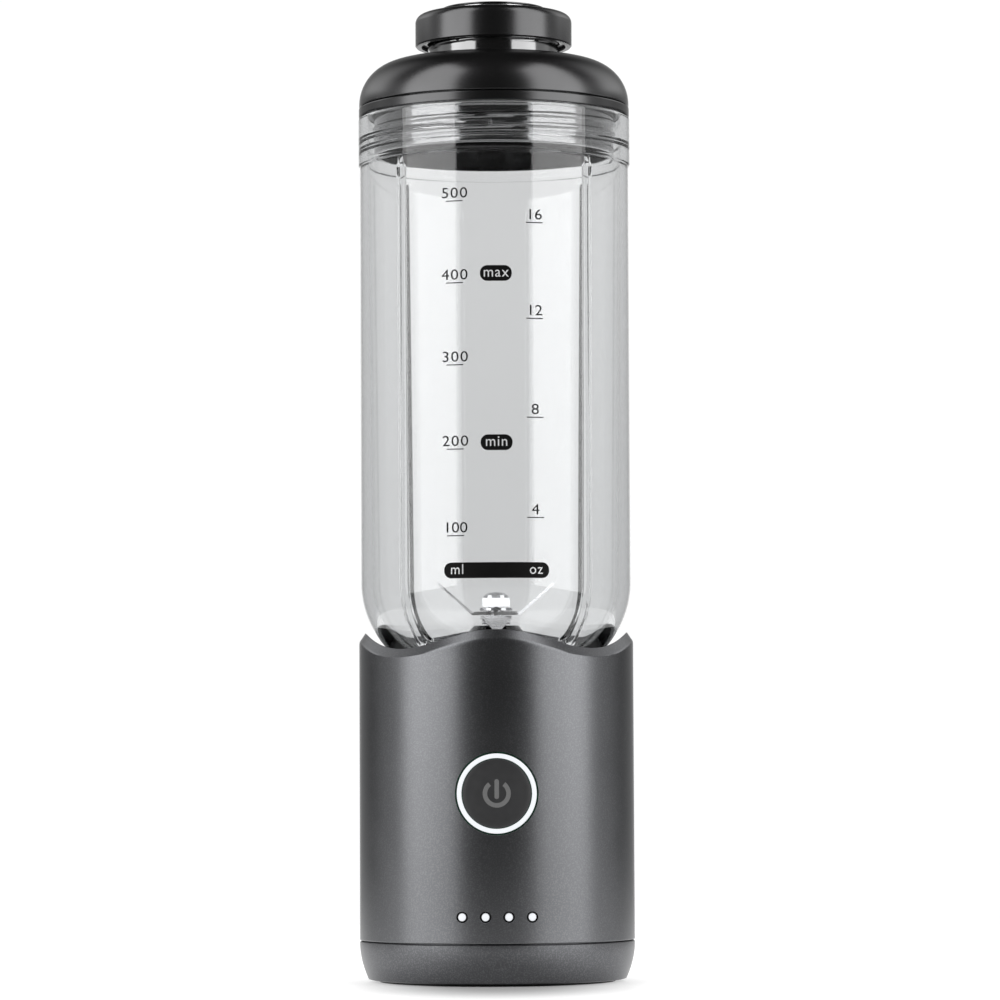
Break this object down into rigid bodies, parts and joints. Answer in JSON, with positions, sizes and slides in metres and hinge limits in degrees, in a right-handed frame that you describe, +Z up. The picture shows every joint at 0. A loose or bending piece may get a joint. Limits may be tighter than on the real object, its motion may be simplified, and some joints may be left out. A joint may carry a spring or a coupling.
{
  "type": "portable blender",
  "caption": "Cordless portable blender: clear screw-lidded cup with a bladed bottom, standing on a round motor base with a lit power button.",
  "frame": {"origin": "centre of the foot ring's underside, on the table", "axes": "+Z up along the cup's and the motor's axis; the power button faces -Y"},
  "size_m": [0.08, 0.08, 0.285],
  "materials": {
    "painted_shell": "satin dark grey metallic paint",
    "cover_plastic": "satin dark grey",
    "foot_rubber": "matt",
    "zinc_steel": "zinc plated",
    "black_plastic": "matt moulded",
    "coupling_plastic": "matt moulded",
    "cell_wrap": "shrink film",
    "circuit_board": "solder mask",
    "lamp_plastic": "milky light guide",
    "satin_black": "satin",
    "flap_rubber": "matt",
    "steel": "ground",
    "clear_plastic": "clear moulded copolyester",
    "silicone": "soft matt",
    "chrome_trim": "polished"
  },
  "bodies": {
    "base": {"base_housing": "painted_shell", "bottom_cover": "cover_plastic", "foot_ring": "foot_rubber", "base_screw_1": "zinc_steel", "base_screw_2": "zinc_steel", "base_screw_3": "zinc_steel", "base_screw_4": "zinc_steel", "deck": "black_plastic", "motor_can": "zinc_steel", "motor_end_cap": "black_plastic", "motor_mount": "coupling_plastic", "motor_screw_1": "zinc_steel", "motor_screw_2": "zinc_steel", "mount_screw_1": "zinc_steel", "mount_screw_2": "zinc_steel", "battery_cradle": "black_plastic", "battery_cell_left": "cell_wrap", "battery_cell_right": "cell_wrap", "control_board": "circuit_board", "tact_switch": "zinc_steel", "light_ring": "lamp_plastic", "indicator_lens": "lamp_plastic", "charge_board": "circuit_board", "charge_port": "steel", "interlock_sensor": "black_plastic"},
    "rotor": {"motor_shaft": "steel", "drive_coupling": "coupling_plastic"},
    "button": {"power_button": "satin_black"},
    "flap": {"port_flap": "flap_rubber"},
    "lock_ring": {"lock_ring": "coupling_plastic"},
    "cup": {"jar": "clear_plastic", "blade_base": "black_plastic", "blade_gasket": "silicone", "bearing_lower": "steel", "bearing_upper": "steel", "shaft_seal": "silicone", "interlock_magnet": "steel"},
    "blades": {"blade_spindle": "steel", "blade_lower": "steel", "blade_upper": "steel", "blade_washer": "steel", "blade_nut": "steel", "driven_coupling": "coupling_plastic"},
    "lid_seal": {"lid_gasket": "silicone"},
    "lid": {"lid_band": "satin_black", "lid_dome": "satin_black", "lid_plug": "black_plastic"},
    "cap_seal": {"cap_seal": "silicone"},
    "cap": {"cap_shell": "satin_black", "cap_liner": "black_plastic", "cap_trim": "chrome_trim", "cap_disc": "satin_black"}
  },
  "joints": [
    {"name": "button_press", "type": "slide", "parent": "base", "child": "button", "axis": [0, 1, 0], "range_m": [0, 0.0008], "stiffness_N_per_m": 800},
    {"name": "motor_spin", "type": "hinge", "parent": "base", "child": "rotor", "pos_m": [0, 0, 0.08], "axis": [0, 0, 1], "continuous": true},
    {"name": "flap_open", "type": "hinge", "parent": "base", "child": "flap", "pos_m": [0, 0.0399, 0.0265], "axis": [1, 0, 0], "range_deg": [0, 100]},
    {"name": "cup_turn", "type": "hinge", "parent": "base", "child": "lock_ring", "pos_m": [0, 0, 0.08], "axis": [0, 0, 1], "range_deg": [0, 30]},
    {"name": "cup_lift", "type": "slide", "parent": "lock_ring", "child": "cup", "axis": [0, 0, 1], "range_m": [0, 0.06]},
    {"name": "blade_spin", "type": "hinge", "parent": "cup", "child": "blades", "pos_m": [0, 0, 0.1], "axis": [0, 0, 1], "continuous": true},
    {"name": "lid_lift", "type": "slide", "parent": "cup", "child": "lid_seal", "axis": [0, 0, 1], "range_m": [0, 0.04]},
    {"name": "lid_turn", "type": "hinge", "parent": "lid_seal", "child": "lid", "pos_m": [0, 0, 0.26], "axis": [0, 0, 1], "range_deg": [0, 180]},
    {"name": "cap_lift", "type": "slide", "parent": "lid", "child": "cap_seal", "axis": [0, 0, 1], "range_m": [0, 0.02]},
    {"name": "cap_turn", "type": "hinge", "parent": "cap_seal", "child": "cap", "pos_m": [0, 0, 0.28], "axis": [0, 0, 1], "range_deg": [0, 180]}
  ],
  "couplings": [
    {"joint": "blade_spin", "follows": "motor_spin", "ratio": 1}
  ]
}
